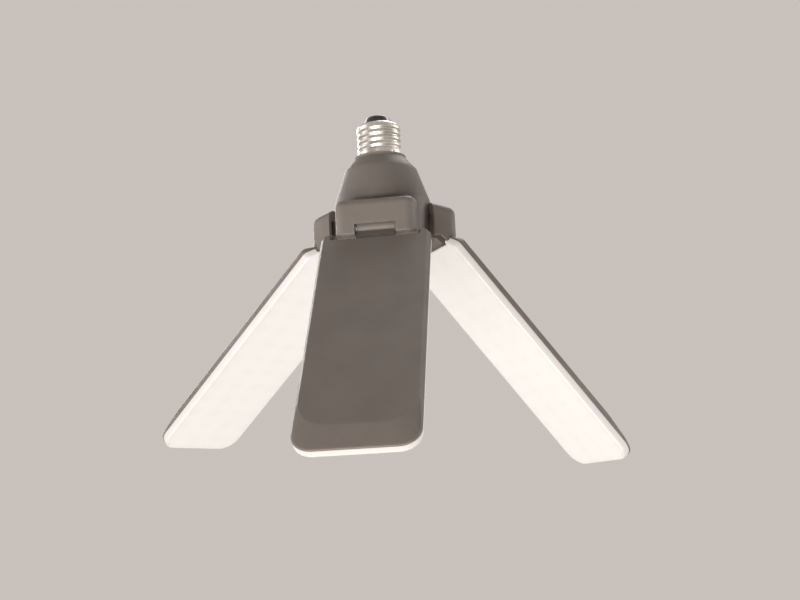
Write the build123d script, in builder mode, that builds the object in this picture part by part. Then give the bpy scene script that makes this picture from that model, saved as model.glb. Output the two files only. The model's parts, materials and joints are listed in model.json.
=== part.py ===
# Foldable LED bulb: three hinged light leaves on a bell-shaped driver housing with an E27 screw cap.
# The origin is on the cap's axis, where the metal shell meets the housing. +Z points to the centre
# contact, and the front leaf hangs towards -Y. All sizes are in millimetres.
import os
from math import cos, hypot, radians, sin
from build123d import *

# Screw cap
cap_radius = 13.1
cap_height = 20.0
shell_wall = 0.4
shell_corner = 1.6
insulator_seat = 2.2
insulator_height = 5.0
insulator_tip_radius = 6.4
shell_mouth_radius = 10.4
contact_radius = 4.8
contact_height = 1.2
contact_rim = 0.4
contact_crown_radius = 3.0
rivet_radius = 1.2
rivet_end = 1.0

# Bell of the driver housing
bell_height = 51.0
collar_radius = 15.5
collar_height = 1.5
shoulder_radius = 21.6
shoulder_drop = 8.7
skirt_radius = 28.4
skirt_drop = 28.5
foot_radius = 27.0
bell_round = 6.0
collar_round = 1.6
housing_wall = 2.2
shoulder_wall = 2.5
spigot_height = 10.0
spigot_wall = 2.0

# Hinge lobes around the bell
leaf_names = ("front", "right", "left")
front_angle = -90.0
lobe_width = 46.0
lobe_top_drop = 31.0
lobe_top_fall = 3.1
lobe_round = 4.6
lobe_corner_round = 6.0
lobe_wall = 3.0
lobe_roof = 2.4
lobe_foot = 5.2
lobe_foot_round = 1.2
hood_wall = 2.2
lug_thickness = 3.0
slot_half = 11.6

# Hinge
hinge_rise = 2.0
knuckle_radius = 3.6
pin_radius = 1.5
pin_inset = 0.3
pin_chamfer = 0.3
washer_radius = 3.2
washer_thickness = 0.4

# Leaf, in its own frame: X along the leaf from the hinge axis, Y across it, Z out of its back
rest_angles = {"front": 41.3, "right": 40.6, "left": 52.3}
leaf_reach = 172.5
leaf_width = 62.6
ear_root = 1.6
ear_corner = 7.6
ear_round = 1.4
root_round = 4.0
tip_round = 11.0
back_rise = 1.2
neck_rise = 0.2
seam_depth = 3.0
edge_height = 1.2
side_draft = 2.0
tip_slope_length = 13.0
crown_tip_round = 18.0
crown_round = 0.6
back_wall = 1.8
rebate_wall = 1.8
rebate_tip_wall = 6.0
rebate_depth = 1.6

# Light side of the leaf
board_thickness = 1.2
board_recess = 0.2
chip_length = 3.5
chip_width = 2.8
chip_height = 0.7
chips_across = 3
chip_pitch_along = 12.2
chip_pitch_across = 17.0
chip_margin = 4.0
boss_radius = 2.5
board_screw_radius = 0.9
board_screw_head = 2.0
board_screw_head_height = 1.0
board_screw_bite = 1.8
board_screw_margin = 15.0
diffuser_depth = 4.5
diffuser_step = 0.3
diffuser_wall = 1.3
diffuser_round = 1.3
tongue_root = 4.6
tongue_thickness = 1.7
lip_wall = 1.0
lip_height = 1.2
flange_thickness = 1.2

# Bottom cover and its screws
cover_thickness = 2.2
cover_edge = 0.4
screw_count = 3
screw_circle_radius = 20.4
screw_boss_radius = 3.2
screw_boss_height = 9.0
boss_rib = 2.4
screw_radius = 1.25
screw_head_radius = 2.8
screw_length = 9.0

# Driver inside the bell
driver_width = 28.0
driver_top_drop = 12.0
driver_thickness = 1.6
capacitor_radius = 5.0
capacitor_length = 13.0
inductor_radius = 5.0
inductor_length = 10.0
inductor_flange = 1.6
inductor_waist = 3.4
rectifier_size = (6.0, 2.2, 5.0)
part_height = 34.0
rectifier_height = 22.0
part_offset = 6.5
lead_radius = 0.7
lead_bend = 2.5
shell_lead_offset = 7.5
shell_lead_height = 14.0

# Clearances
fit_gap = 0.15
pin_press_gap = 0.02
pin_run_gap = 0.05
thrust_gap = 0.05
knuckle_gap = 0.5
window_gap = 0.6
root_gap = 0.85
ear_gap = 0.8
screw_gap = 0.1

# Sizes that follow from the ones above
shell_inner_radius = cap_radius - shell_wall
spigot_radius = shell_inner_radius - fit_gap
spigot_bore = spigot_radius - spigot_wall
insulator_underside = cap_height - shell_wall - insulator_seat
insulator_top = cap_height + insulator_height
chamber_radius = foot_radius - housing_wall
cover_inner_z = cover_thickness - bell_height
hinge_reach = foot_radius + knuckle_gap + knuckle_radius
hinge_z = hinge_rise - bell_height
slot_reach = hinge_reach + knuckle_radius + knuckle_gap
lobe_reach = slot_reach + lobe_wall
lobe_foot_z = hinge_z - lobe_foot
slot_roof_z = -lobe_top_drop - lobe_top_fall - lobe_roof
lobe_inner = chamber_radius - housing_wall
lobe_half = lobe_width / 2
lug_half = slot_half + lug_thickness
pocket_half = lobe_half - hood_wall
knuckle_half = slot_half - washer_thickness - 2 * thrust_gap
window_z = hinge_z + neck_rise + window_gap
leaf_root = hypot(lobe_reach - hinge_reach, lobe_foot) + root_gap
leaf_half = leaf_width / 2
notch_half = lobe_half + ear_gap
seam_z = -seam_depth
lit_z = seam_z - diffuser_depth
ceiling_z = back_rise - back_wall
board_front_z = seam_z + board_recess
board_back_z = board_front_z + board_thickness
lip_inset = rebate_wall + fit_gap
lip_tip_inset = rebate_tip_wall + fit_gap
lip_inner_inset = lip_inset + lip_wall
lip_inner_tip_inset = lip_tip_inset + lip_wall
board_inset = lip_inner_inset + fit_gap
board_tip_inset = lip_inner_tip_inset + fit_gap
board_screw_x = (
    leaf_root + board_inset + board_screw_margin,
    leaf_reach - board_tip_inset - board_screw_margin,
)
board_screw_y = (-chip_pitch_across / 2, chip_pitch_across / 2)
board_screw_places = [(x, y) for x in board_screw_x for y in board_screw_y]
chip_centre = (sum(board_screw_x) / 2, 0)
chip_run = leaf_reach - board_tip_inset - leaf_root - board_inset - 2 * chip_margin - chip_length
chips_along = int(chip_run // chip_pitch_along) + 1


def nearest(shapes, x, y):
    return shapes.sort_by_distance((x, y, 0))[0]


def leaf_outline(height, inset=0.0, tip_inset=0.0, tip_radius=tip_round, root=leaf_root):
    # Outline of the leaf at one height: rounded tip, and a root with an ear on each side of the lobe
    tip = leaf_reach + inset - tip_inset
    with BuildSketch(Plane.XY.offset(height)) as outline:
        with BuildLine():
            Polyline(
                (root, -notch_half),
                (ear_root, -notch_half),
                (ear_corner, -leaf_half),
                (tip, -leaf_half),
                (tip, leaf_half),
                (ear_corner, leaf_half),
                (ear_root, notch_half),
                (root, notch_half),
                close=True,
            )
        make_face()
        if inset:
            offset(amount=-inset, kind=Kind.INTERSECTION, mode=Mode.REPLACE)
        corners = outline.vertices().sort_by(Axis.X)
        side_y = notch_half + inset + ear_gap
        fillet(corners[-2:], tip_radius - inset)
        fillet([v for v in corners[:-2] if abs(v.Y) > side_y], root_round)
        fillet([v for v in corners[:-2] if abs(v.Y) < side_y], ear_round)
    return outline.sketch


def inner_outline(height, inset, tip_inset=0.0, tip_radius=tip_round):
    # The same outline for what lies inside the leaf: its root is straight, without the ears
    tip = leaf_reach + inset - tip_inset
    with BuildSketch(Plane.XY.offset(height)) as outline:
        with BuildLine():
            Polyline(
                (leaf_root, -leaf_half),
                (tip, -leaf_half),
                (tip, leaf_half),
                (leaf_root, leaf_half),
                close=True,
            )
        make_face()
        offset(amount=-inset, kind=Kind.INTERSECTION, mode=Mode.REPLACE)
        roots, tips = outline.vertices().group_by(Axis.X)
        fillet(tips, tip_radius - inset)
        fillet(roots, root_round)
    return outline.sketch


# Screw cap: shell, insulator and centre contact
with BuildPart() as screw_shell:
    with BuildSketch(Plane.XZ):
        with BuildLine():
            Polyline(
                (shell_inner_radius, 0),
                (cap_radius, 0),
                (cap_radius, cap_height),
                (shell_mouth_radius, cap_height),
                (shell_mouth_radius, cap_height - shell_wall),
                (shell_inner_radius, cap_height - shell_wall),
                close=True,
            )
        shell_section = make_face()
        fillet(nearest(shell_section.vertices(), cap_radius, cap_height), shell_corner)
        # a thin wall follows the rounded corner
        fillet(
            nearest(shell_section.vertices(), shell_inner_radius, cap_height - shell_wall),
            shell_corner - shell_wall,
        )
    revolve(axis=Axis.Z)

with BuildPart() as cap_insulator:
    seat_radius = shell_inner_radius - shell_corner
    with BuildSketch(Plane.XZ):
        with BuildLine():
            Polyline(
                (rivet_radius + fit_gap, insulator_underside),
                (seat_radius, insulator_underside),
                (seat_radius, cap_height - shell_wall),
                (shell_mouth_radius - fit_gap, cap_height - shell_wall),
                (shell_mouth_radius - fit_gap, cap_height),
                (seat_radius, cap_height),
                (insulator_tip_radius, insulator_top),
                (rivet_radius + fit_gap, insulator_top),
                close=True,
            )
        make_face()
    revolve(axis=Axis.Z)

with BuildPart() as centre_contact:
    with BuildSketch(Plane.XZ):
        with BuildLine():
            Polyline(
                (0, insulator_underside - rivet_end),
                (rivet_radius, insulator_underside - rivet_end),
                (rivet_radius, insulator_top),
                (contact_radius, insulator_top),
                (contact_radius, insulator_top + contact_rim),
                (contact_crown_radius, insulator_top + contact_height),
                (0, insulator_top + contact_height),
                close=True,
            )
        make_face()
    revolve(axis=Axis.Z)

# One hinge lobe, pointing along +X: a hood with a slot for the knuckle between two lugs
with BuildPart() as hinge_lobe:
    with BuildSketch(Plane.XZ):
        with BuildLine():
            Polyline(
                (lobe_inner, -lobe_top_drop),
                (lobe_reach, -lobe_top_drop - lobe_top_fall),
                (lobe_reach, lobe_foot_z),
                (hinge_reach, lobe_foot_z),
                (foot_radius, -bell_height),
                (lobe_inner, -bell_height),
                close=True,
            )
        make_face()
    extrude(amount=lobe_half, both=True)
    fillet(hinge_lobe.edges().filter_by(Axis.Z).group_by(Axis.X)[-1], lobe_corner_round)
    roof_edges = hinge_lobe.faces().sort_by(Axis.Z)[-1].edges()
    fillet([e for e in roof_edges if e.center().X > lobe_inner + fit_gap], lobe_round)
    foot_edges = hinge_lobe.faces().sort_by(Axis.Z)[0].edges()
    fillet([e for e in foot_edges if e.center().X > hinge_reach + fit_gap], lobe_foot_round)
    with BuildSketch(Plane.XZ):
        with BuildLine():
            Polyline(
                (lobe_inner, lobe_foot_z - window_gap),
                (lobe_reach + window_gap, lobe_foot_z - window_gap),
                (lobe_reach + window_gap, window_z),
                (slot_reach, window_z),
                (slot_reach, slot_roof_z),
                (lobe_inner, slot_roof_z),
                close=True,
            )
        make_face()
    extrude(amount=slot_half, both=True, mode=Mode.SUBTRACT)
    with BuildSketch(Plane.XY.offset(lobe_foot_z)):
        for side in (-1, 1):
            with Locations(((lobe_inner + slot_reach) / 2, side * (lug_half + pocket_half) / 2)):
                Rectangle(slot_reach - lobe_inner, pocket_half - lug_half)
    extrude(amount=slot_roof_z - lobe_foot_z, mode=Mode.SUBTRACT)
    with Locations((hinge_reach, 0, hinge_z)):
        Cylinder(pin_radius + pin_press_gap, 2 * lug_half, rotation=(90, 0, 0), mode=Mode.SUBTRACT)

# Bell with its three lobes, moulded as one piece
with BuildPart() as driver_housing:
    with BuildSketch(Plane.XZ):
        with BuildLine():
            Polyline(
                (0, 0),
                (collar_radius, 0),
                (collar_radius, -collar_height),
                (shoulder_radius, -shoulder_drop),
                (skirt_radius, -skirt_drop),
                (foot_radius, -bell_height),
                (0, -bell_height),
                close=True,
            )
        bell_side = make_face()
        fillet(nearest(bell_side.vertices(), collar_radius, -collar_height), collar_round)
        fillet(nearest(bell_side.vertices(), shoulder_radius, -shoulder_drop), bell_round)
        fillet(nearest(bell_side.vertices(), skirt_radius, -skirt_drop), bell_round)
    revolve(axis=Axis.Z)
    with PolarLocations(0, len(leaf_names), start_angle=front_angle):
        add(hinge_lobe.part)
    with BuildSketch():
        Circle(spigot_radius)
    extrude(amount=spigot_height)
    with BuildSketch(Plane.XZ):
        with BuildLine():
            Polyline(
                (0, -bell_height),
                (chamber_radius, -bell_height),
                (chamber_radius, -skirt_drop),
                (shoulder_radius - housing_wall, -shoulder_drop - housing_wall),
                (spigot_bore, -collar_height - shoulder_wall),
                (spigot_bore, spigot_height),
                (0, spigot_height),
                close=True,
            )
        make_face()
    revolve(axis=Axis.Z, mode=Mode.SUBTRACT)
    with BuildSketch(Plane.XY.offset(cover_inner_z)):
        with PolarLocations(screw_circle_radius, screw_count, start_angle=front_angle + 180 / screw_count):
            Circle(screw_boss_radius)
        with PolarLocations(chamber_radius, screw_count, start_angle=front_angle + 180 / screw_count):
            Rectangle(2 * (chamber_radius - screw_circle_radius), boss_rib)
        Circle(chamber_radius + housing_wall / 2, mode=Mode.INTERSECT)
    extrude(amount=screw_boss_height)
    with BuildSketch(Plane.XY.offset(cover_inner_z)):
        with PolarLocations(screw_circle_radius, screw_count, start_angle=front_angle + 180 / screw_count):
            Circle(screw_radius + screw_gap)
    extrude(amount=screw_length, mode=Mode.SUBTRACT)

# Cover under the bell, with its countersunk screws
cover_plane = Plane(origin=(0, 0, -bell_height), x_dir=(1, 0, 0), z_dir=(0, 0, -1))
screw_start = -front_angle - 180 / screw_count

with BuildPart() as bottom_cover:
    with BuildSketch(cover_plane):
        Circle(chamber_radius - fit_gap)
    extrude(amount=-cover_thickness)
    chamfer(bottom_cover.faces().sort_by(Axis.Z)[0].edges(), cover_edge)
    with Locations(cover_plane):
        with PolarLocations(screw_circle_radius, screw_count, start_angle=screw_start):
            CounterSinkHole(screw_radius + screw_gap, screw_head_radius + screw_gap)

with BuildPart() as cover_screw:
    with BuildSketch(Plane.XZ):
        with BuildLine():
            Polyline(
                (0, -bell_height),
                (screw_head_radius, -bell_height),
                (screw_radius, -bell_height + screw_head_radius - screw_radius),
                (screw_radius, -bell_height + screw_length),
                (0, -bell_height + screw_length),
                close=True,
            )
        make_face()
    revolve(axis=Axis.Z)

with BuildPart() as cover_screws:
    with PolarLocations(screw_circle_radius, screw_count, start_angle=front_angle + 180 / screw_count):
        add(cover_screw.part)

# Driver board with its parts, standing on the cover
driver_top = -driver_top_drop
board_face = driver_thickness / 2

with BuildPart() as driver_board:
    with BuildSketch(Plane.XY.offset(cover_inner_z)):
        Rectangle(driver_width, driver_thickness)
    extrude(amount=driver_top - cover_inner_z)

with BuildPart() as smoothing_capacitor:
    with BuildSketch(Plane.XZ.offset(-board_face)):
        with Locations((-part_offset, -part_height)):
            Circle(capacitor_radius)
    extrude(amount=-capacitor_length)
    fillet(smoothing_capacitor.faces().sort_by(Axis.Y)[-1].edges(), capacitor_radius / 6)

with BuildPart() as inductor:
    inductor_plane = Plane.XZ.offset(board_face)
    with BuildSketch(inductor_plane):
        with Locations((part_offset, -part_height)):
            Circle(inductor_radius)
    extrude(amount=inductor_flange)
    with BuildSketch(inductor_plane.offset(inductor_flange)):
        with Locations((part_offset, -part_height)):
            Circle(inductor_waist)
    extrude(amount=inductor_length - 2 * inductor_flange)
    with BuildSketch(inductor_plane.offset(inductor_length - inductor_flange)):
        with Locations((part_offset, -part_height)):
            Circle(inductor_radius)
    extrude(amount=inductor_flange)

with BuildPart() as rectifier:
    with Locations((part_offset, board_face + rectifier_size[1] / 2, -rectifier_height)):
        Box(*rectifier_size)

with BuildPart() as input_leads:
    with BuildLine() as contact_route:
        Line((0, 0, driver_top), (0, 0, insulator_underside - rivet_end))
    with BuildSketch(Plane.XY.offset(driver_top)):
        Circle(lead_radius)
    sweep(path=contact_route.line)
    with BuildLine() as shell_route:
        FilletPolyline(
            (shell_lead_offset, 0, driver_top),
            (shell_lead_offset, 0, shell_lead_height),
            (shell_inner_radius - fit_gap, 0, shell_lead_height),
            radius=lead_bend,
        )
    with BuildSketch(Plane.XY.offset(driver_top)):
        with Locations((shell_lead_offset, 0)):
            Circle(lead_radius)
    sweep(path=shell_route.line)

# Hinge pin and washers, along Y at the hinge axis
with BuildPart() as hinge_pin:
    Cylinder(pin_radius, 2 * (lug_half - pin_inset), rotation=(90, 0, 0))
    chamfer(hinge_pin.edges().filter_by(GeomType.CIRCLE), pin_chamfer)

with BuildPart() as hinge_washers:
    for side in (-1, 1):
        with Locations((0, side * (slot_half - thrust_gap - washer_thickness / 2), 0)):
            Cylinder(washer_radius, washer_thickness, rotation=(90, 0, 0))
    Cylinder(pin_radius + pin_run_gap, lobe_width, rotation=(90, 0, 0), mode=Mode.SUBTRACT)

# Back of a leaf: a shallow tray with a long sloped end, and the knuckle of the hinge
with BuildPart() as leaf_back:
    extrude(leaf_outline(seam_z), amount=edge_height)
    slope_foot = leaf_outline(seam_z + edge_height)
    crown = leaf_outline(back_rise, side_draft, tip_slope_length, crown_tip_round)
    loft([slope_foot, crown], ruled=True)
    fillet(leaf_back.faces().sort_by(Axis.Z)[-1].edges(), crown_round)
    with BuildSketch(Plane.XZ):
        Circle(knuckle_radius)
        with BuildLine():
            Polyline(
                (0, neck_rise),
                (leaf_root + rebate_wall, neck_rise),
                (leaf_root + rebate_wall, seam_z),
                (0, seam_z),
                close=True,
            )
        make_face()
    extrude(amount=knuckle_half, both=True)
    rebate = inner_outline(seam_z, rebate_wall, rebate_tip_wall)
    extrude(rebate, amount=rebate_depth, mode=Mode.SUBTRACT)
    hollow = inner_outline(seam_z, rebate_wall + side_draft, tip_slope_length + lip_wall, crown_tip_round)
    extrude(hollow, amount=ceiling_z - seam_z, mode=Mode.SUBTRACT)
    with BuildSketch(Plane.XY.offset(board_back_z)):
        with Locations(*board_screw_places):
            Circle(boss_radius)
    extrude(amount=ceiling_z - board_back_z)
    with BuildSketch(Plane.XY.offset(board_back_z)):
        with Locations(*board_screw_places):
            Circle(board_screw_radius + screw_gap)
    extrude(amount=board_screw_bite + screw_gap, mode=Mode.SUBTRACT)
    Cylinder(pin_radius + pin_run_gap, leaf_width, rotation=(90, 0, 0), mode=Mode.SUBTRACT)

# Aluminium board with its chips and screws
with BuildPart() as led_board:
    extrude(inner_outline(board_front_z, board_inset, board_tip_inset), amount=board_thickness)
    with BuildSketch(Plane.XY.offset(board_front_z)):
        with Locations(*board_screw_places):
            Circle(board_screw_radius + screw_gap)
    extrude(amount=board_thickness, mode=Mode.SUBTRACT)

with BuildPart() as led_chips:
    with BuildSketch(Plane.XY.offset(board_front_z)):
        with Locations(chip_centre):
            with GridLocations(chip_pitch_along, chip_pitch_across, chips_along, chips_across):
                Rectangle(chip_length, chip_width)
    extrude(amount=-chip_height)

with BuildPart() as board_screws:
    with BuildSketch(Plane.XY.offset(board_front_z)):
        with Locations(*board_screw_places):
            Circle(board_screw_head)
    extrude(amount=-board_screw_head_height)
    with BuildSketch(Plane.XY.offset(board_front_z)):
        with Locations(*board_screw_places):
            Circle(board_screw_radius)
    extrude(amount=board_thickness + board_screw_bite)

# Milky diffuser: a tray with rounded edges and a lip that plugs into the back
with BuildPart() as diffuser:
    extrude(leaf_outline(lit_z, diffuser_step, diffuser_step), amount=diffuser_depth)
    # the lit face runs on under the lobe as a thin tongue
    face = leaf_outline(lit_z, diffuser_step, diffuser_step, root=tongue_root)
    extrude(face, amount=tongue_thickness)
    fillet(diffuser.faces().sort_by(Axis.Z)[0].edges(), diffuser_round)
    extrude(inner_outline(seam_z, lip_inset, lip_tip_inset), amount=lip_height)
    hollow_inset = diffuser_step + diffuser_wall
    hollow = inner_outline(lit_z + diffuser_wall, hollow_inset, hollow_inset)
    extrude(hollow, amount=diffuser_depth - diffuser_wall - flange_thickness, mode=Mode.SUBTRACT)
    mouth = inner_outline(seam_z - flange_thickness, lip_inner_inset, lip_inner_tip_inset)
    extrude(mouth, amount=flange_thickness + lip_height, mode=Mode.SUBTRACT)


# Placing and export
def write(part, name):
    part.label = name
    export_step(part, f"parts/{name}.step")


os.makedirs("parts", exist_ok=True)
for name, piece in {
    "screw_shell": screw_shell,
    "cap_insulator": cap_insulator,
    "centre_contact": centre_contact,
    "driver_housing": driver_housing,
    "bottom_cover": bottom_cover,
    "cover_screws": cover_screws,
    "driver_board": driver_board,
    "smoothing_capacitor": smoothing_capacitor,
    "inductor": inductor,
    "rectifier": rectifier,
    "input_leads": input_leads,
}.items():
    write(piece.part, name)

for index, leaf in enumerate(leaf_names):
    bearing = radians(front_angle + index * 360 / len(leaf_names))
    tilt = radians(rest_angles[leaf])
    outward = Vector(cos(bearing), sin(bearing), 0)
    hinge = outward * hinge_reach + Vector(0, 0, hinge_z)
    along = outward * sin(tilt) - Vector(0, 0, cos(tilt))
    back = outward * cos(tilt) + Vector(0, 0, sin(tilt))
    pin_place = Plane(hinge, x_dir=outward, z_dir=(0, 0, 1)).location
    leaf_place = Plane(hinge, x_dir=along, z_dir=back).location
    for name, piece in {"hinge_pin": hinge_pin, "hinge_washers": hinge_washers}.items():
        write(piece.part.moved(pin_place), f"{name}_{leaf}")
    for name, piece in {
        "leaf_back": leaf_back,
        "led_board": led_board,
        "led_chips": led_chips,
        "board_screws": board_screws,
        "diffuser": diffuser,
    }.items():
        write(piece.part.moved(leaf_place), f"{name}_{leaf}")
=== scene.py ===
import json
from math import asin, atan2, cos, exp, pi, radians, sin, tan, tau
import bmesh
import bpy
from mathutils import Matrix, Vector


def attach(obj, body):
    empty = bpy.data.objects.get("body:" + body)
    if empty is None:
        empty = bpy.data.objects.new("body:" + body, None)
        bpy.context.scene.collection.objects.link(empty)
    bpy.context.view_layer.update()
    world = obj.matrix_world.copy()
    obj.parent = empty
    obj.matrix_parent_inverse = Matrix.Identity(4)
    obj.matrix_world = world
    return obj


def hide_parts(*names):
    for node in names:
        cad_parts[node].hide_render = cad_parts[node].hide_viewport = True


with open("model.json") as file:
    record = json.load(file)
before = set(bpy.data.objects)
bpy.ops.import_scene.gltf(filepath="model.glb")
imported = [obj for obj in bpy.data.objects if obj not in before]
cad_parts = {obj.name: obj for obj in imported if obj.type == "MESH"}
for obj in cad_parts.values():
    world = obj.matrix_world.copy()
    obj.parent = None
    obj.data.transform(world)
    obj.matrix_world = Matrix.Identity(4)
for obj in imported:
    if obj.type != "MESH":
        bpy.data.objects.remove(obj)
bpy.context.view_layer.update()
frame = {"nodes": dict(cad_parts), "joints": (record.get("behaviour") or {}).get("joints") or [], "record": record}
nodes = frame["nodes"]
scene = bpy.context.scene
mm = 0.001  # pieces are drawn in millimetres and placed in metres
slotOf = {entry["node"]: entry["material_slot"] for entry in frame["record"]["subparts"]}
print("frame loaded:", len(nodes), "nodes")


# Camera, at the place and angle of the photograph
cameraView = {
    "spot": (92.3, -708.4, -215.7),  # mm from the cap's seat
    "heading": 6.83,  # degrees, turned to the left
    "pitch": 10.26,  # looking up at the bulb
    "roll": -3.08,
    "focalPixels": 1240.2,
    "imageWidth": 800,
    "sensor": 36.0,
    "nearest": 0.01,  # metres
}


def makeCamera(look):
    lens = bpy.data.cameras.new("camera")
    lens.sensor_width = look["sensor"]
    lens.lens = look["focalPixels"] / look["imageWidth"] * look["sensor"]
    lens.clip_start = look["nearest"]
    camera = bpy.data.objects.new("camera", lens)
    scene.collection.objects.link(camera)
    turn = Matrix.Rotation(radians(look["heading"]), 4, "Z")
    lift = Matrix.Rotation(radians(90 + look["pitch"]), 4, "X")
    lean = Matrix.Rotation(radians(look["roll"]), 4, "Z")
    camera.matrix_world = Matrix.Translation(Vector(look["spot"]) * mm) @ turn @ lift @ lean
    scene.camera = camera


makeCamera(cameraView)
print("camera set")


# Shader node helpers
def addNode(tree, kind, **values):
    node = tree.nodes.new("ShaderNode" + kind)
    for name, value in values.items():
        if hasattr(node, name):
            setattr(node, name, value)
        else:
            node.inputs[name.replace("_", " ")].default_value = value
    return node


def joinUp(tree, *links):
    for outSocket, inSocket in links:
        tree.links.new(outSocket, inSocket)


def objectPlace(tree):
    return addNode(tree, "TexCoord").outputs["Object"]


def addMath(tree, operation, first, second=None, clamp=False):
    node = addNode(tree, "Math", operation=operation, use_clamp=clamp)
    for socket, value in zip(node.inputs, (first, second)):
        if isinstance(value, (int, float)):
            socket.default_value = value
        elif value is not None:
            tree.links.new(value, socket)
    return node.outputs[0]


def addRamp(tree, factor, low, high, toLow=0.0, toHigh=1.0):
    node = addNode(tree, "MapRange", interpolation_type="SMOOTHSTEP")
    span = {"From Min": low, "From Max": high, "To Min": toLow, "To Max": toHigh}
    for name, value in span.items():
        node.inputs[name].default_value = value
    tree.links.new(factor, node.inputs["Value"])
    return node.outputs["Result"]


def addMix(tree, factor, first, second):
    node = addNode(tree, "Mix", data_type="RGBA")
    sockets = (node.inputs[0], node.inputs[6], node.inputs[7])  # factor and the two colours
    for socket, value in zip(sockets, (factor, first, second)):
        if isinstance(value, tuple):
            socket.default_value = (*value, 1)
        else:
            tree.links.new(value, socket)
    return node.outputs[2]


def addNoise(tree, place, scale, **values):
    node = addNode(tree, "TexNoise", **values)
    tree.links.new(place, node.inputs["Vector"])
    if isinstance(scale, float):
        node.inputs["Scale"].default_value = scale
    else:
        tree.links.new(scale, node.inputs["Scale"])
    return node.outputs[0]


def newGroup(name, inputs, outputs):
    tree = bpy.data.node_groups.new(name, "ShaderNodeTree")
    for label, value in inputs.items():
        socket = tree.interface.new_socket(label, in_out="INPUT", socket_type="NodeSocketFloat")
        socket.default_value = value
    for label in outputs:
        tree.interface.new_socket(label, in_out="OUTPUT", socket_type="NodeSocketFloat")
    given = tree.nodes.new("NodeGroupInput").outputs
    return tree, given, tree.nodes.new("NodeGroupOutput").inputs


def addGroup(tree, group, **values):
    node = tree.nodes.new("ShaderNodeGroup")
    node.node_tree = group
    for name, value in values.items():
        node.inputs[name].default_value = value
    return node.outputs


# Light, backdrop and a floor that fades into it
studio = {
    "backdrop": (0.58, 0.535, 0.50),
    "floorHeight": -1.25,
    "floorRadius": 2.4,
    "floorSegments": 96,
    "floorFade": (0.8, 2.3),  # metres from the bulb's axis
    "floorGlow": 0.45,  # keeps the floor as pale as the backdrop, for the camera only
    "floorRoughness": 0.9,
    "floorSpecular": 0.1,
    "worldStrength": 0.20,
    "worldColour": (1.0, 0.985, 0.97),
    "aim": (0, 0, -0.08),
    "lamps": {  # place in metres, size, watts
        "lowLamp": ((-0.25, -1.25, -0.95), 0.8, 24.0),
        "sideLamp": ((-1.7, -0.2, 0.6), 1.0, 9.0),
        "topLamp": ((0.4, 1.0, 1.5), 1.0, 14.0),
        "backLamp": ((-0.9, 1.5, 0.4), 1.0, 16.0),
        "rightLamp": ((1.7, 0.6, 0.2), 1.0, 9.0),
    },
}


def makeFloor(look):
    bm = bmesh.new()
    bmesh.ops.create_circle(bm, cap_ends=True, radius=look["floorRadius"],
                            segments=look["floorSegments"])
    bmesh.ops.translate(bm, verts=bm.verts, vec=(0, 0, look["floorHeight"]))
    mesh = bpy.data.meshes.new("floor")
    bm.to_mesh(mesh)
    bm.free()
    floor = bpy.data.objects.new("floor", mesh)
    scene.collection.objects.link(floor)
    paint = bpy.data.materials.new("floorPaint")
    paint.use_nodes = True
    tree = paint.node_tree
    shader = tree.nodes["Principled BSDF"]
    for label in ("Base Color", "Emission Color"):
        shader.inputs[label].default_value = (*look["backdrop"], 1)
    shader.inputs["Roughness"].default_value = look["floorRoughness"]
    shader.inputs["Specular IOR Level"].default_value = look["floorSpecular"]
    flat = addNode(tree, "VectorMath", operation="MULTIPLY")  # leaves out the height
    flat.inputs[1].default_value = (1, 1, 0)
    reach = addNode(tree, "VectorMath", operation="LENGTH")
    joinUp(tree, (objectPlace(tree), flat.inputs[0]), (flat.outputs[0], reach.inputs[0]))
    faded = addRamp(tree, reach.outputs["Value"], *look["floorFade"], 1.0, 0.0)
    rays = addNode(tree, "LightPath").outputs
    seen = addMath(tree, "MULTIPLY", rays["Is Camera Ray"], look["floorGlow"])
    joinUp(tree, (faded, shader.inputs["Alpha"]), (seen, shader.inputs["Emission Strength"]))
    mesh.materials.append(paint)


def makeLamps(look):
    for name, (spot, size, watts) in look["lamps"].items():
        lamp = bpy.data.lights.new(name, "AREA")
        lamp.size = size
        lamp.energy = watts
        stand = bpy.data.objects.new(name, lamp)
        scene.collection.objects.link(stand)
        stand.location = spot
        stand.visible_camera = False
        sight = Vector(look["aim"]) - Vector(spot)
        stand.rotation_mode = "QUATERNION"
        stand.rotation_quaternion = sight.to_track_quat("-Z", "Y")


def makeWorld(look):
    world = bpy.data.worlds.new("studioWorld")
    scene.world = world
    world.use_nodes = True
    tree = world.node_tree
    light = tree.nodes["Background"]
    light.inputs["Color"].default_value = (*look["worldColour"], 1)
    light.inputs["Strength"].default_value = look["worldStrength"]
    backdrop = addNode(tree, "Background", Color=(*look["backdrop"], 1))
    rays = addNode(tree, "LightPath").outputs
    mirrored = addMath(tree, "MAXIMUM", rays["Is Glossy Ray"], rays["Is Transmission Ray"])
    shown = addMath(tree, "MAXIMUM", rays["Is Camera Ray"], mirrored)
    blend = addNode(tree, "MixShader")
    joinUp(tree, (shown, blend.inputs[0]), (light.outputs[0], blend.inputs[1]),
           (backdrop.outputs[0], blend.inputs[2]),
           (blend.outputs[0], tree.nodes["World Output"].inputs[0]))


makeFloor(studio)
makeLamps(studio)
makeWorld(studio)
scene.view_settings.view_transform = "Standard"
print("studio set")


# Spark-eroded grain of a moulded surface: cloudy tone and a fine height
grainLook = {
    "inputs": {"grainScale": 2600.0, "cloudScale": 45.0},
    "fine": {"Detail": 3.0, "Roughness": 0.6},
    "fineShare": 0.3,  # of the tone
    "cloud": {"Detail": 4.0, "Roughness": 0.55},
    "cloudSpan": (0.3, 0.7),
    "cloudShare": 0.7,
    "pitScale": 0.45,  # of the grain's own scale
    "pitHeight": 0.6,
    "toneSpan": (0.2, 0.8),  # tones between which the roughness changes
}


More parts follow.
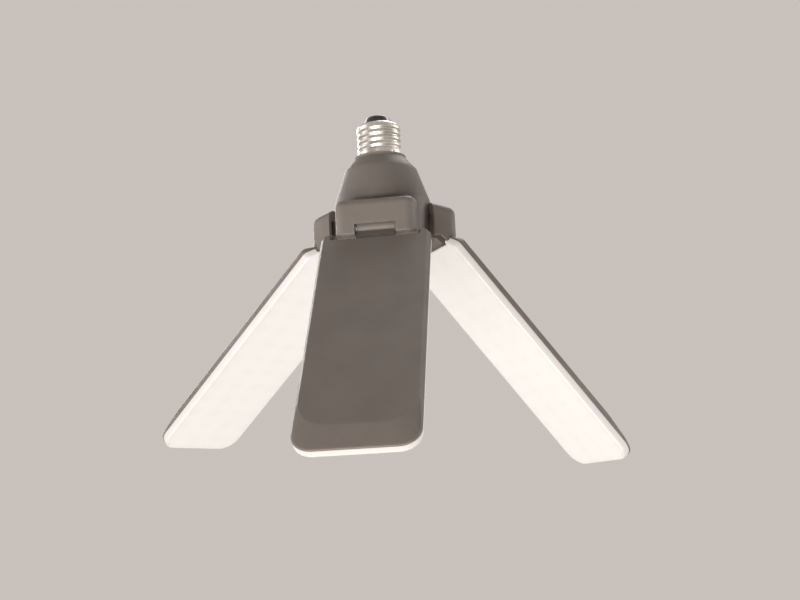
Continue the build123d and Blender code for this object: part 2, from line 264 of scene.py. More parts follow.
def makeMouldGrain(look):
    tree, given, out = newGroup("mouldGrain", look["inputs"], ("Tone", "Height"))
    place = objectPlace(tree)
    fine = addNoise(tree, place, given["grainScale"], **look["fine"])
    cloud = addNoise(tree, place, given["cloudScale"], **look["cloud"])
    pits = addNode(tree, "TexVoronoi", feature="F1", Randomness=1.0)
    pitScale = addMath(tree, "MULTIPLY", given["grainScale"], look["pitScale"])
    joinUp(tree, (place, pits.inputs["Vector"]), (pitScale, pits.inputs["Scale"]))
    broad = addMath(tree, "MULTIPLY", addRamp(tree, cloud, *look["cloudSpan"]), look["cloudShare"])
    tone = addMath(tree, "ADD", broad, addMath(tree, "MULTIPLY", fine, look["fineShare"]))
    pitted = addMath(tree, "MULTIPLY", pits.outputs["Distance"], look["pitHeight"])
    joinUp(tree, (tone, out["Tone"]), (addMath(tree, "ADD", fine, pitted), out["Height"]))
    return tree


# Rubbed edges: the piece's own edge tone, broken up
rubLook = {
    "inputs": {"amount": 1.0, "breakScale": 260.0},
    "patches": {"Detail": 5.0, "Roughness": 0.65},
    "patchSpan": (0.30, 0.72),
}


def makeEdgeRub(look):
    tree, given, out = newGroup("edgeRub", look["inputs"], ("Mask",))
    edge = addNode(tree, "Attribute", attribute_name="edgeTone").outputs["Fac"]
    patches = addNoise(tree, objectPlace(tree), given["breakScale"], **look["patches"])
    worn = addMath(tree, "MULTIPLY", edge, addRamp(tree, patches, *look["patchSpan"]))
    joinUp(tree, (addMath(tree, "MULTIPLY", worn, given["amount"], clamp=True), out["Mask"]))
    return tree


# Thin dust that settles on what faces up
dustLook = {
    "inputs": {"amount": 0.3, "speckScale": 900.0},
    "specks": {"Detail": 4.0, "Roughness": 0.7},
    "speckSpan": (0.4, 0.75),
    "drifts": {"Detail": 3.0, "Roughness": 0.5},
    "driftScale": 28.0,
    "driftSpan": (0.35, 0.7),
    "upSpan": (0.15, 0.95),  # how far up a surface faces
}


def makeSettledDust(look):
    tree, given, out = newGroup("settledDust", look["inputs"], ("Mask",))
    place = objectPlace(tree)
    split = addNode(tree, "SeparateXYZ")
    joinUp(tree, (addNode(tree, "NewGeometry").outputs["Normal"], split.inputs["Vector"]))
    upward = addRamp(tree, split.outputs["Z"], *look["upSpan"])
    specks = addNoise(tree, place, given["speckScale"], **look["specks"])
    drifts = addNoise(tree, place, look["driftScale"], **look["drifts"])
    cover = addMath(tree, "MULTIPLY", addRamp(tree, specks, *look["speckSpan"]),
                    addRamp(tree, drifts, *look["driftSpan"]))
    settled = addMath(tree, "MULTIPLY", upward, cover)
    joinUp(tree, (addMath(tree, "MULTIPLY", settled, given["amount"], clamp=True), out["Mask"]))
    return tree


# Fine turning lines round the cap's axis, and finger marks
turnedLook = {
    "inputs": {"lineScale": 5200.0, "markScale": 130.0},
    "lines": {"Detail": 2.0, "Roughness": 0.7},
    "marks": {"Detail": 4.0, "Roughness": 0.6, "Distortion": 0.6},
    "markSpan": (0.42, 0.66),
}


def makeTurnedLines(look):
    tree, given, out = newGroup("turnedLines", look["inputs"], ("Lines", "Marks"))
    place = objectPlace(tree)
    split = addNode(tree, "SeparateXYZ")
    lines = addNode(tree, "TexNoise", noise_dimensions="1D", **look["lines"])
    joinUp(tree, (place, split.inputs["Vector"]), (split.outputs["Z"], lines.inputs["W"]),
           (given["lineScale"], lines.inputs["Scale"]))
    marks = addNoise(tree, place, given["markScale"], **look["marks"])
    joinUp(tree, (lines.outputs[0], out["Lines"]),
           (addRamp(tree, marks, *look["markSpan"]), out["Marks"]))
    return tree


mouldGrain = makeMouldGrain(grainLook)
edgeRub = makeEdgeRub(rubLook)
settledDust = makeSettledDust(dustLook)
turnedLines = makeTurnedLines(turnedLook)


def newMaterial(name, **values):
    material = bpy.data.materials.new(name)
    material.use_nodes = True
    tree = material.node_tree
    shader = tree.nodes["Principled BSDF"]
    for label, value in values.items():
        shader.inputs[label.replace("_", " ")].default_value = value
    return material, tree, shader


def addBump(tree, shader, height, strength, distance):
    bump = addNode(tree, "Bump", Strength=strength, Distance=distance)
    joinUp(tree, (height, bump.inputs["Height"]), (bump.outputs["Normal"], shader.inputs["Normal"]))


def grainRoughness(tree, tone, roughness):
    smooth, coarse = roughness
    return addRamp(tree, tone, *grainLook["toneSpan"], coarse, smooth)


# Warm brownish grey moulded plastic of the housing and the leaves, its tones darkened below the plastic's own
# paler colour as painted shade
bodyFinish = {
    "colour": (0.225, 0.187, 0.159),
    "shade": (0.192, 0.159, 0.135),
    "rubbed": (0.275, 0.234, 0.203),
    "dust": (0.365, 0.330, 0.298),
    "rubAmount": 0.5,
    "rubScale": 190.0,
    "rubSmooths": 0.10,
    "dustAmount": 0.16,
    "dustRoughens": 0.2,
    "specular": 0.42,
    "roughness": (0.48, 0.56),
    "grainScale": 2400.0,
    "cloudScale": 38.0,
    "grainBump": 0.35,
    "grainDepth": 0.00006,  # metres
}


def makeBodyPlastic(finish):
    material, tree, shader = newMaterial("bodyPlastic", Specular_IOR_Level=finish["specular"])
    grain = addGroup(tree, mouldGrain, grainScale=finish["grainScale"],
                     cloudScale=finish["cloudScale"])
    rub = addGroup(tree, edgeRub, amount=finish["rubAmount"], breakScale=finish["rubScale"])["Mask"]
    dust = addGroup(tree, settledDust, amount=finish["dustAmount"])["Mask"]
    plain = addMix(tree, grain["Tone"], finish["shade"], finish["colour"])
    worn = addMix(tree, rub, plain, finish["rubbed"])
    rough = grainRoughness(tree, grain["Tone"], finish["roughness"])
    smoothed = addMath(tree, "MULTIPLY", rub, finish["rubSmooths"])
    dusted = addMath(tree, "MULTIPLY", dust, finish["dustRoughens"])
    rough = addMath(tree, "ADD", addMath(tree, "SUBTRACT", rough, smoothed), dusted)
    joinUp(tree, (addMix(tree, dust, worn, finish["dust"]), shader.inputs["Base Color"]),
           (rough, shader.inputs["Roughness"]))
    addBump(tree, shader, grain["Height"], finish["grainBump"], finish["grainDepth"])
    return material


# Milky diffuser, lit from inside by rows of chips, with painted shade in its base colour
leafMap = {"size": 200.0, "middle": 0.5}  # mm to one unit, and where the middle line lies
milkFinish = {
    # painted shade: the milk's base colour is kept below its own paler tone
    "colour": (0.50, 0.485, 0.46),
    "cloudTint": 0.965,  # of the colour, in the darker clouds
    # painted shade: darker base colour for the side walls, the dim rim and the tip's corners
    "wallShadeColour": (0.43, 0.41, 0.38),
    "face": (1.0, 0.955, 0.89),  # light through the flat face
    "wall": (0.72, 0.64, 0.56),  # warmer and weaker through the side walls
    "strength": 0.45,
    "roughness": (0.32, 0.42),
    "grainScale": 3400.0,
    "cloudScale": 60.0,
    "grainBump": 0.15,
    "grainDepth": 0.00004,  # metres
    "firstChip": 21.9,  # mm from the hinge
    "pitchAlong": 12.2,
    "pitchAcross": 17.0,
    "spotDepth": 0.09,
    "faceHalf": 31.0,
    "faceReach": 172.2,
    "rimWidth": 6.0,  # dimmer band along the face's edge
    "rimDepth": 0.2,
    "cornerSize": 11.0,  # rounded corners of the tip, far from the chips
    "cornerSpan": (0.2, 0.5),  # of the corner's square
    "cornerDepth": 0.5,
    "cornerGlow": (0.6, 0.9),  # the corners dim on the face and not on the walls
}


def addLitLevel(tree, finish):
    layout = addNode(tree, "UVMap", uv_map="leafMap")
    split = addNode(tree, "SeparateXYZ")
    joinUp(tree, (layout.outputs["UV"], split.inputs["Vector"]))
    along = addMath(tree, "MULTIPLY", split.outputs["X"], leafMap["size"])
    offMiddle = addMath(tree, "SUBTRACT", split.outputs["Y"], leafMap["middle"])
    across = addMath(tree, "MULTIPLY", offMiddle, leafMap["size"])
    # Faint spots over the chips
    ahead = addMath(tree, "SUBTRACT", along, finish["firstChip"])
    rowTurn = addMath(tree, "MULTIPLY", ahead, tau / finish["pitchAlong"])
    lineTurn = addMath(tree, "MULTIPLY", across, tau / finish["pitchAcross"])
    rows = addMath(tree, "COSINE", rowTurn)
    lines = addMath(tree, "COSINE", lineTurn)
    spots = addMath(tree, "MULTIPLY", addMath(tree, "ADD", rows, lines), finish["spotDepth"] / 2)
    # Dimmer rim
    fromSide = addMath(tree, "SUBTRACT", finish["faceHalf"], addMath(tree, "ABSOLUTE", across))
    fromTip = addMath(tree, "SUBTRACT", finish["faceReach"], along)
    nearEdge = addMath(tree, "MINIMUM", fromSide, fromTip)
    inner = addRamp(tree, nearEdge, 0.0, finish["rimWidth"], 1.0 - finish["rimDepth"], 1.0)
    # Dimmer corners of the tip
    corner = finish["cornerSize"]
    pastSide = addMath(tree, "MAXIMUM", addMath(tree, "SUBTRACT", corner, fromSide), 0.0)
    pastTip = addMath(tree, "MAXIMUM", addMath(tree, "SUBTRACT", corner, fromTip), 0.0)
    low, high = (share * corner ** 2 for share in finish["cornerSpan"])
    inCorner = addRamp(tree, addMath(tree, "MULTIPLY", pastSide, pastTip), low, high)
    glow = addNode(tree, "Attribute", attribute_name="glow").outputs["Fac"]
    onFace = addRamp(tree, glow, *finish["cornerGlow"], 0.0, finish["cornerDepth"])
    dimmed = addMath(tree, "SUBTRACT", 1.0, addMath(tree, "MULTIPLY", inCorner, onFace))
    full = addMath(tree, "MULTIPLY", glow, addMath(tree, "ADD", inner, spots))
    return addMath(tree, "MULTIPLY", full, dimmed, clamp=True)


def makeMilkDiffuser(finish):
    material, tree, shader = newMaterial("milkDiffuser", Emission_Strength=finish["strength"])
    grain = addGroup(tree, mouldGrain, grainScale=finish["grainScale"],
                     cloudScale=finish["cloudScale"])
    level = addLitLevel(tree, finish)
    tint = tuple(finish["cloudTint"] * part for part in finish["colour"])
    milk = addMix(tree, grain["Tone"], tint, finish["colour"])
    light = addMix(tree, level, finish["wall"], finish["face"])
    # The base colour follows the lit level as painted shade: darker towards the walls, rim and tip corners, with
    # faint spots over the chips
    joinUp(tree, (light, shader.inputs["Emission Color"]),
           (addMix(tree, level, finish["wallShadeColour"], milk), shader.inputs["Base Color"]),
           (grainRoughness(tree, grain["Tone"], finish["roughness"]), shader.inputs["Roughness"]))
    addBump(tree, shader, grain["Height"], finish["grainBump"], finish["grainDepth"])
    return material


# Plated and turned metals
metalFinishes = {  # bright, dull, roughness, how far finger marks dull it
    "cap_metal": ((0.74, 0.71, 0.66), (0.55, 0.52, 0.475), (0.20, 0.38), 0.12),
    "contact_metal": ((0.72, 0.69, 0.63), (0.50, 0.465, 0.41), (0.28, 0.46), 0.10),
    "screw_steel": ((0.66, 0.665, 0.67), (0.46, 0.46, 0.455), (0.24, 0.42), 0.10),
    "pin_steel": ((0.68, 0.68, 0.68), (0.52, 0.52, 0.52), (0.22, 0.34), 0.08),
    "washer_steel": ((0.62, 0.62, 0.61), (0.45, 0.45, 0.44), (0.30, 0.46), 0.08),
}
metalGrain = {
    "lineScale": 5200.0,
    "lineSpan": (0.3, 0.7),
    "lineBump": 0.25,
    "lineDepth": 0.00003,  # metres
    "markScale": 140.0,
    "rubAmount": 0.7,
    "rubScale": 420.0,
    "rubbedGain": 1.15,  # how much brighter rubbed edges are
    "grainScale": 5200.0,
    "cloudScale": 120.0,
    "toneShare": 0.5,  # of the lines, and of the grain
}


def makeMetal(name, finish, look):
    bright, dull, rough, marking = finish
    material, tree, shader = newMaterial(name, Metallic=1.0)
    turned = addGroup(tree, turnedLines, lineScale=look["lineScale"], markScale=look["markScale"])
    rub = addGroup(tree, edgeRub, amount=look["rubAmount"], breakScale=look["rubScale"])["Mask"]
    grain = addGroup(tree, mouldGrain, grainScale=look["grainScale"], cloudScale=look["cloudScale"])
    both = addMath(tree, "ADD", turned["Lines"], grain["Tone"])
    tone = addMath(tree, "MULTIPLY", both, look["toneShare"])
    plain = addMix(tree, addRamp(tree, tone, *look["lineSpan"]), dull, bright)
    rubbed = tuple(min(1.0, look["rubbedGain"] * part) for part in bright)
    base = addRamp(tree, turned["Lines"], *look["lineSpan"], *rough)
    dulled = addMath(tree, "ADD", base, addMath(tree, "MULTIPLY", turned["Marks"], marking))
    joinUp(tree, (addMix(tree, rub, plain, rubbed), shader.inputs["Base Color"]),
           (dulled, shader.inputs["Roughness"]))
    addBump(tree, shader, turned["Lines"], look["lineBump"], look["lineDepth"])
    return material


# Plain fills: glass, boards and the parts inside
fillFinishes = {  # main colour, second colour, roughness, grain scale, cloud scale, bump
    "cap_insulator": ((0.013, 0.013, 0.016), (0.028, 0.027, 0.030), (0.10, 0.22),
                      900.0, 160.0, 0.05),
    "board_white": ((0.80, 0.80, 0.775), (0.74, 0.74, 0.71), (0.35, 0.50),
                    1800.0, 70.0, 0.10),
    "led_phosphor": ((0.80, 0.60, 0.14), (0.72, 0.50, 0.09), (0.45, 0.60),
                     9000.0, 900.0, 0.20),
    "circuit_board": ((0.035, 0.17, 0.075), (0.020, 0.115, 0.050), (0.30, 0.48),
                      2600.0, 320.0, 0.10),
    "capacitor_sleeve": ((0.030, 0.032, 0.045), (0.046, 0.047, 0.060), (0.28, 0.42),
                         1500.0, 200.0, 0.06),
    "ferrite": ((0.060, 0.058, 0.056), (0.095, 0.090, 0.086), (0.55, 0.75),
                4200.0, 420.0, 0.30),
    "chip_epoxy": ((0.022, 0.022, 0.023), (0.036, 0.036, 0.038), (0.50, 0.68),
                   6000.0, 500.0, 0.20),
    "lead_insulation": ((0.40, 0.040, 0.032), (0.33, 0.028, 0.022), (0.38, 0.52),
                        1400.0, 260.0, 0.06),
}
fillGrain = {
    "rubAmount": 0.5,
    "rubbedGain": 1.25,  # how much brighter rubbed edges are
    "rubbedLift": 0.01,
    "grainDepth": 0.00005,  # metres
}


def makeFill(name, finish, look):
    main, second, rough, grainScale, cloudScale, bump = finish
    material, tree, shader = newMaterial(name)
    grain = addGroup(tree, mouldGrain, grainScale=grainScale, cloudScale=cloudScale)
    rub = addGroup(tree, edgeRub, amount=look["rubAmount"])["Mask"]
    plain = addMix(tree, grain["Tone"], second, main)
    rubbed = tuple(min(1.0, look["rubbedGain"] * part + look["rubbedLift"]) for part in main)
    joinUp(tree, (addMix(tree, rub, plain, rubbed), shader.inputs["Base Color"]),
           (grainRoughness(tree, grain["Tone"], rough), shader.inputs["Roughness"]))
    addBump(tree, shader, grain["Height"], bump, look["grainDepth"])
    return material


def finishName(slot):
    first, *rest = slot.split("_")
    return first + "".join(word.title() for word in rest)


finishes = {
    "body_plastic": makeBodyPlastic(bodyFinish),
    "diffuser_milk": makeMilkDiffuser(milkFinish),
}
for slotName, metal in metalFinishes.items():
    finishes[slotName] = makeMetal(finishName(slotName), metal, metalGrain)
for slotName, fill in fillFinishes.items():
    finishes[slotName] = makeFill(finishName(slotName), fill, fillGrain)
for nodeName, node in nodes.items():
    node.material_slots[0].material = finishes[slotOf[nodeName]]
print("finishes made:", len(finishes))


# Piece helpers
edgeWear = {"spare": 0.3, "full": 0.9}  # radians of turn that stay clean, and from there to full
meshLimits = {"weld": 0.002, "level": 0.0001}  # mm: what is merged, and what counts as level


def toneEdges(bm, wear):
    # How sharply the surface turns outwards at each point
    tone = bm.verts.layers.float.new("edgeTone")
    for vert in bm.verts:
        turn = sum(max(0.0, e.calc_face_angle_signed(0.0)) for e in vert.link_edges)
        vert[tone] = min(1.0, max(0.0, turn - wear["spare"]) / wear["full"])


def roundEdges(bm, edges, radius, segments):
    bmesh.ops.bevel(bm, geom=edges, offset=radius, offset_type="OFFSET", segments=segments,
                    profile=0.5, affect="EDGES", material=-1, clamp_overlap=True)


def newVerts(made):
    return [item for item in made["geom"] if isinstance(item, bmesh.types.BMVert)]


def newEdges(made):
    return [item for item in made["geom"] if isinstance(item, bmesh.types.BMEdge)]


def finishPiece(bm, name, body, replaced, crease, place=Matrix()):
    bmesh.ops.remove_doubles(bm, verts=bm.verts, dist=meshLimits["weld"])
    bmesh.ops.recalc_face_normals(bm, faces=bm.faces)
    toneEdges(bm, edgeWear)
    for face in bm.faces:
        face.smooth = True
    for edge in bm.edges:
        edge.smooth = edge.calc_face_angle(0.0) < radians(crease)
    bmesh.ops.transform(bm, matrix=place @ Matrix.Scale(mm, 4), verts=bm.verts)
    mesh = bpy.data.meshes.new(name)
    bm.to_mesh(mesh)
    bm.free()
    slot = slotOf[replaced]
    mesh.materials.append(finishes[slot])
    piece = bpy.data.objects.new(name, mesh)
    scene.collection.objects.link(piece)
    normals = piece.modifiers.new("evenNormals", "WEIGHTED_NORMAL")
    normals.keep_sharp = True
    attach(piece, body)
    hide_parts(replaced)


def spinProfile(points, steps):
    bm = bmesh.new()
    chain = [bm.verts.new((radius, 0, height)) for radius, height in points]
    edges = [bm.edges.new(pair) for pair in zip(chain, chain[1:])]
    bmesh.ops.spin(bm, geom=chain + edges, cent=(0, 0, 0), axis=(0, 0, 1), angle=tau, steps=steps,
                   use_merge=True)
    bmesh.ops.remove_doubles(bm, verts=bm.verts, dist=meshLimits["weld"])
    return bm


# Threaded shell of the cap
screwCap = {
    "radius": 13.08,
    "foot": 12.58,
    "pitch": 3.63,
    "threadDepth": 0.95,
    "threadFrom": 2.6,
    "threadTo": 17.0,
    "fade": 1.5,
    "crestAt": 14.0,  # on the side of +X, over the end of the shell's lead
    "height": 20.0,
    "shoulder": 2.3,
    "shoulderSteps": 8,
    "mouth": 10.4,
    "lip": 0.5,
    "bore": 11.95,  # inside of the shell, clear of the thread's valleys
    "steps": 144,
    "rowHeight": 0.33,
    "dimples": 8,
    "dimpleHeight": 1.15,
    "dimpleSize": 0.75,
    "dimpleDepth": 0.3,
    "crease": 60.0,  # degrees, where the shading breaks
}


def shellDrop(cap, turn, height):
    # How far the thread and the dimples dip below the shell's outer radius
    ends = min(height - cap["threadFrom"], cap["threadTo"] - height) / cap["fade"]
    wave = 0.5 - 0.5 * cos(tau * (height - cap["crestAt"]) / cap["pitch"] - turn)
    drop = cap["threadDepth"] * min(1.0, max(0.0, ends)) * wave
    if height > 0:  # the foot stays round
        spacing = tau / cap["dimples"]
        aside = cap["radius"] * ((turn + spacing / 2) % spacing - spacing / 2)
        away = (aside ** 2 + (height - cap["dimpleHeight"]) ** 2) / cap["dimpleSize"] ** 2
        drop += cap["dimpleDepth"] * exp(-away)
    return drop


def makeScrewCap(cap):
    top = cap["height"] - cap["shoulder"]
    rows = round(top / cap["rowHeight"])
    points = [(cap["foot"], 0.0)]
    points += [(cap["radius"], top * row / rows) for row in range(rows + 1)]
    for step in range(1, cap["shoulderSteps"] + 1):  # rounded shoulder up to the mouth
        angle = pi / 2 * step / cap["shoulderSteps"]
        inward = cap["shoulder"] * (1 - cos(angle))
        points.append((cap["radius"] - inward, top + cap["shoulder"] * sin(angle)))
    inside = cap["height"] - cap["lip"]
    points += [(cap["mouth"], cap["height"]), (cap["mouth"], inside)]
    points += [(cap["bore"], inside), (cap["bore"], 0.0), points[0]]
    bm = spinProfile(points, cap["steps"])
    for vert in bm.verts:
        outward = Vector((vert.co.x, vert.co.y, 0)).normalized()
        turn = outward.to_2d().angle_signed(Vector((1, 0)), 0.0)
        vert.co -= outward * shellDrop(cap, turn, vert.co.z)
    finishPiece(bm, "threadedShell", "hub", "screw_shell", cap["crease"])


makeScrewCap(screwCap)


# Black glass insulator and the centre contact, as radius and height
capTip = {
    "glass": [(0.0, 19.7), (10.3, 19.7), (10.3, 20.15), (9.9, 20.5), (9.2, 20.75), (8.75, 21.3),
              (7.5, 23.4), (6.85, 24.5), (6.5, 24.92), (6.0, 25.0), (0.0, 25.0)],
    "contact": [(0.0, 24.9), (4.5, 24.95), (4.78, 25.1), (4.75, 25.35), (4.4, 25.6), (3.4, 25.95),
                (2.5, 26.02), (2.15, 25.9), (1.9, 25.98), (1.2, 26.15), (0.0, 26.2)],
    "steps": 96,
    "crease": 50.0,
}


def makeCapTip(tip):
    glass = spinProfile(tip["glass"], tip["steps"])
    contact = spinProfile(tip["contact"], tip["steps"])
    finishPiece(glass, "glassInsulator", "hub", "cap_insulator", tip["crease"])
    finishPiece(contact, "contactButton", "hub", "centre_contact", tip["crease"])


makeCapTip(capTip)
print("screw cap made")


# Housing and cover, taken over from the solids with an even mesh for their finish
shellMesh = {
    "longest": 3.2,
    "rounds": 4,
    "spigot": 11.85,  # radius that stays inside the cap's threaded shell
    "spigotFrom": 0.01,  # height where the cap begins
    "crease": 28.0,
}


def takeOver(source, name, look):
    bm = bmesh.new()
    bm.from_mesh(nodes[source].data)
    bmesh.ops.transform(bm, matrix=Matrix.Scale(1 / mm, 4), verts=bm.verts)
    bmesh.ops.remove_doubles(bm, verts=bm.verts, dist=meshLimits["weld"])
    for _ in range(look["rounds"]):
        longEdges = [e for e in bm.edges if e.calc_length() > look["longest"]]
        bmesh.ops.subdivide_edges(bm, edges=longEdges, cuts=1)
        bmesh.ops.triangulate(bm, faces=[f for f in bm.faces if len(f.verts) > 3])
    for vert in bm.verts:
        radius = vert.co.xy.length
        if vert.co.z > look["spigotFrom"] and radius > look["spigot"]:
            vert.co.xy *= look["spigot"] / radius
    finishPiece(bm, name, "hub", source, look["crease"])


takeOver("driver_housing", "hingeHousing", shellMesh)
takeOver("bottom_cover", "roundCover", shellMesh)
print("housing made")


# Countersunk cover screws with a cross recess
coverScrew = {
    "circle": 20.4,
    "bearings": (-30.0, 90.0, 210.0),
    "seat": -51.0,  # height of the cover's lower face
    "head": 2.78,
    "headSegments": 24,
    "headRound": 0.15,
    "headRoundSteps": 2,
    "shank": 1.25,
    "crossReach": 1.5,
    "crossHalf": 0.36,
    "crossDepth": 1.0,
    "crossTaper": 0.8,
    "crease": 40.0,
}


def crossOutline(screw):
    reach, half = screw["crossReach"], screw["crossHalf"]
    arm = [(reach, -half), (reach, half), (half, half)]
    quarters = [Matrix.Rotation(quarter * pi / 2, 2) for quarter in range(4)]
    return [turn @ Vector(point) for turn in quarters for point in arm]


def addScrew(bm, screw, cross, bearing):
    earlier = set(bm.verts)
    rim = bmesh.ops.create_circle(bm, cap_ends=False, radius=screw["head"],
                                  segments=screw["headSegments"])
    rimEdges = list({e for v in rim["verts"] for e in v.link_edges})
    loop = [bm.verts.new((*point, 0)) for point in cross]
    loopEdges = [bm.edges.new(pair) for pair in zip(loop, loop[1:] + loop[:1])]
    bmesh.ops.bridge_loops(bm, edges=rimEdges + loopEdges)
    well = bmesh.ops.extrude_edge_only(bm, edges=loopEdges)
    wellFloor = newVerts(well)
    bmesh.ops.translate(bm, verts=wellFloor, vec=(0, 0, screw["crossDepth"]))
    bmesh.ops.scale(bm, verts=wellFloor, vec=(screw["crossTaper"], screw["crossTaper"], 1))
    bmesh.ops.contextual_create(bm, geom=newEdges(well))
    taper = bmesh.ops.extrude_edge_only(bm, edges=rimEdges)
    neck = newVerts(taper)
    bmesh.ops.contextual_create(bm, geom=newEdges(taper))
    bmesh.ops.translate(bm, verts=neck, vec=(0, 0, screw["head"] - screw["shank"]))
    shrink = screw["shank"] / screw["head"]
    bmesh.ops.scale(bm, verts=neck, vec=(shrink, shrink, 1))
    roundEdges(bm, rimEdges, screw["headRound"], screw["headRoundSteps"])
    own = [v for v in bm.verts if v not in earlier]
    turn = radians(bearing)
    spot = Vector((screw["circle"] * cos(turn), screw["circle"] * sin(turn), screw["seat"]))
    place = Matrix.Translation(spot) @ Matrix.Rotation(turn, 4, "Z")
    bmesh.ops.transform(bm, matrix=place, verts=own)


def makeCoverScrews(screw):
    bm = bmesh.new()
    cross = crossOutline(screw)
    for bearing in screw["bearings"]:
        addScrew(bm, screw, cross, bearing)
    finishPiece(bm, "crossScrews", "hub", "cover_screws", screw["crease"])


makeCoverScrews(coverScrew)
print("cover screws made")


# Leaves, drawn flat: X along the leaf from its hinge, Y across it, Z out of its back
leafShape = {
    "reach": 172.5,
    "half": 31.3,
    "root": 9.65,
    "notchHalf": 23.8,
    "earRoot": 1.6,
    "earCorner": 7.6,
    "tipRound": 11.0,
    "shoulderRound": 4.0,
    "earRound": 1.4,
    "notchRound": 1.4,
    "arcSegments": 8,
    "seam": -3.0,
    "edgeHeight": 1.2,
    "backRise": 1.2,
    "sideDraft": 2.0,
    "tipSlope": 13.0,
    "crownTipRound": 18.0,
    "crownRound": 0.6,
    "crownRoundSteps": 3,
    "slopeRound": 0.5,
    "slopeRoundSteps": 2,
    "seamRound": 0.25,
    "seamRoundSteps": 2,
    "wearBand": 1.2,  # strip beside each edge that takes the rubbing
    "flatBand": 0.5,
    "knuckleRadius": 3.55,
    "knuckleHalf": 11.05,
    "knuckleSteps": 28,
    "neckRise": 0.2,
    "neckFall": -2.9,
    "neckEnd": 11.25,
    "neckRound": 0.4,
    "neckRoundSteps": 3,
    "crease": 32.0,
}
milkShape = {
    "step": 0.3,  # how far the diffuser stands in from the back's edge
    "seamGap": 0.02,
    "tongueTop": -5.8,
    "tongueBend": 0.02,
    "tongueRoot": 4.6,
    "tongueEarRound": 0.5,
    "tongueNotchRound": 0.25,
    "litHeight": -7.42,
    "edgeRound": 1.2,
    "edgeSteps": 5,
    "glow": (0.3, 1.0),  # at the seam and at the lit face
}


def leafPlace(joint):
    hinge = Vector(joint["pos_m"])
    outward = Vector((hinge.x, hinge.y, 0)).normalized()
    tilt = radians(-joint["range_deg"][0])  # from straight down
    up = Vector((0, 0, 1))
    along = outward * sin(tilt) - up * cos(tilt)
    back = outward * cos(tilt) + up * sin(tilt)
    turn = Matrix((along, back.cross(along), back)).transposed()
    return Matrix.Translation(hinge) @ turn.to_4x4()


def leafLoop(bm, shape, height, inset=0.0, tipInset=0.0, **changes):
    leaf = {**shape, **changes}
    ear = Vector((leaf["earCorner"] - leaf["earRoot"], leaf["half"] - leaf["notchHalf"]))
    cut = ear.normalized()
    half, notch = leaf["half"] - inset, leaf["notchHalf"] + inset
    earX = leaf["earRoot"] + inset * (1 + cut.x) / cut.y
    cornerX = leaf["earRoot"] + (inset + cut.x * (half - leaf["notchHalf"])) / cut.y
    tipX = leaf["reach"] - tipInset
    side = [(leaf["root"] + inset, notch), (earX, notch), (cornerX, half), (tipX, half)]
    outline = [(x, -y) for x, y in side] + side[::-1]
    corners = [bm.verts.new((x, y, height)) for x, y in outline]
    bm.faces.new(corners)
    cutTurn = atan2(cut.y, cut.x)
    rounds = (  # corner pairs, radius, turn of the outline there
        ((0, 7), leaf["notchRound"], pi / 2),
        ((1, 6), leaf["earRound"], pi - cutTurn),
        ((2, 5), leaf["shoulderRound"], cutTurn),
        ((3, 4), leaf["tipRound"] - inset, pi / 2),
    )
    for pair, radius, turn in rounds:
        bmesh.ops.bevel(bm, geom=[corners[i] for i in pair], offset=radius * tan(turn / 2),
                        offset_type="OFFSET", segments=leaf["arcSegments"], profile=0.5,
                        affect="VERTICES", material=-1)
    level = meshLimits["level"]
    face = next(f for f in bm.faces if all(abs(v.co.z - height) < level for v in f.verts))
    return face, list(face.edges)


def addKnuckle(bm, leaf):
    radius, half, steps = leaf["knuckleRadius"], leaf["knuckleHalf"], leaf["knuckleSteps"]
    start = asin(leaf["neckRise"] / radius)
    sweep = tau + asin(leaf["neckFall"] / radius) - start
    angles = [start + sweep * step / steps for step in range(steps + 1)]
    profile = [(radius * cos(angle), radius * sin(angle)) for angle in angles]
    profile += [(leaf["neckEnd"], leaf["neckFall"]), (leaf["neckEnd"], leaf["neckRise"])]
    cheek = bm.faces.new([bm.verts.new((x, -half, z)) for x, z in profile])
    far = newVerts(bmesh.ops.extrude_face_region(bm, geom=[cheek]))
    bmesh.ops.translate(bm, verts=far, vec=(0, 2 * half, 0))
    rims = []
    for edge in bm.edges:  # both cheeks, but not where the neck meets the leaf
        first, second = (v.co for v in edge.verts)
        onCheeks = all(abs(abs(end.y) - half) < meshLimits["level"] for end in (first, second))
        if onCheeks and first.y * second.y > 0 and max(first.x, second.x) < leaf["neckEnd"]:
            rims.append(edge)
    roundEdges(bm, rims, leaf["neckRound"], leaf["neckRoundSteps"])


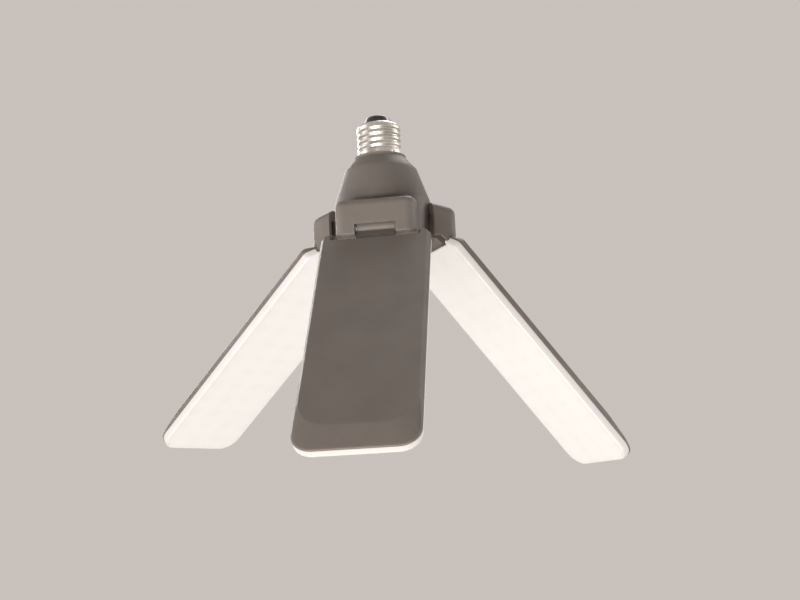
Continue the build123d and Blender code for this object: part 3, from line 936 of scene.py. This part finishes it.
def makeLeafBack(leaf, joint, side):
    bm = bmesh.new()
    _, underEdges = leafLoop(bm, leaf, leaf["seam"])
    middle, middleEdges = leafLoop(bm, leaf, leaf["seam"] + leaf["edgeHeight"])
    _, crownEdges = leafLoop(bm, leaf, leaf["backRise"], leaf["sideDraft"], leaf["tipSlope"],
                             tipRound=leaf["crownTipRound"])
    bmesh.ops.delete(bm, geom=[middle], context="FACES_ONLY")
    bmesh.ops.bridge_loops(bm, edges=underEdges + middleEdges)
    slope = bmesh.ops.bridge_loops(bm, edges=middleEdges + crownEdges)["faces"]
    bmesh.ops.recalc_face_normals(bm, faces=bm.faces)
    bmesh.ops.inset_region(bm, faces=slope, thickness=leaf["wearBand"], use_even_offset=True,
                           use_boundary=True)
    roundEdges(bm, crownEdges, leaf["crownRound"], leaf["crownRoundSteps"])
    roundEdges(bm, middleEdges, leaf["slopeRound"], leaf["slopeRoundSteps"])
    roundEdges(bm, underEdges, leaf["seamRound"], leaf["seamRoundSteps"])
    flats = [f for f in bm.faces if len(f.verts) > leaf["arcSegments"]]  # these hold whole outlines
    bmesh.ops.inset_individual(bm, faces=flats, thickness=leaf["flatBand"], use_even_offset=True)
    addKnuckle(bm, leaf)
    finishPiece(bm, "leafBack" + side.title(), joint["child"], "leaf_back_" + side, leaf["crease"],
                leafPlace(joint))


def makeDiffuser(leaf, milk, joint, side):
    bm = bmesh.new()
    step, bend = milk["step"], milk["tongueTop"] + milk["tongueBend"]
    tongue = {"root": milk["tongueRoot"], "earRound": milk["tongueEarRound"],
              "notchRound": milk["tongueNotchRound"]}
    loops = [  # the lit face runs on under the lobe as a thin tongue
        leafLoop(bm, leaf, leaf["seam"] - milk["seamGap"], step, step),
        leafLoop(bm, leaf, bend, step, step),
        leafLoop(bm, leaf, milk["tongueTop"], step, step, **tongue),
    ]
    for turn in range(milk["edgeSteps"] + 1):  # rounded edge of the lit face
        angle = pi / 2 * turn / milk["edgeSteps"]
        inward = step + milk["edgeRound"] * (1 - cos(angle))
        height = milk["litHeight"] + milk["edgeRound"] * (1 - sin(angle))
        loops.append(leafLoop(bm, leaf, height, inward, inward, **tongue))
    bmesh.ops.delete(bm, geom=[face for face, _ in loops[1:-1]], context="FACES_ONLY")
    for (_, upper), (_, lower) in zip(loops, loops[1:]):
        bmesh.ops.bridge_loops(bm, edges=upper + lower)
    bmesh.ops.recalc_face_normals(bm, faces=bm.faces)
    glow = bm.verts.layers.float.new("glow")
    seamGlow, faceGlow = milk["glow"]
    for vert in bm.verts:
        share = (leaf["seam"] - vert.co.z) / (leaf["seam"] - milk["litHeight"])
        vert[glow] = seamGlow + (faceGlow - seamGlow) * min(1.0, max(0.0, share))
    layout = bm.loops.layers.uv.new("leafMap")
    for face in bm.faces:
        for corner in face.loops:
            x, y, _ = corner.vert.co
            corner[layout].uv = (x / leafMap["size"], y / leafMap["size"] + leafMap["middle"])
    finishPiece(bm, "diffuser" + side.title(), joint["child"], "diffuser_" + side, leaf["crease"],
                leafPlace(joint))


for hingeJoint in frame["joints"]:
    leafSide = hingeJoint["child"].split("_")[1]
    makeLeafBack(leafShape, hingeJoint, leafSide)
    makeDiffuser(leafShape, milkShape, hingeJoint, leafSide)
print("leaves made")
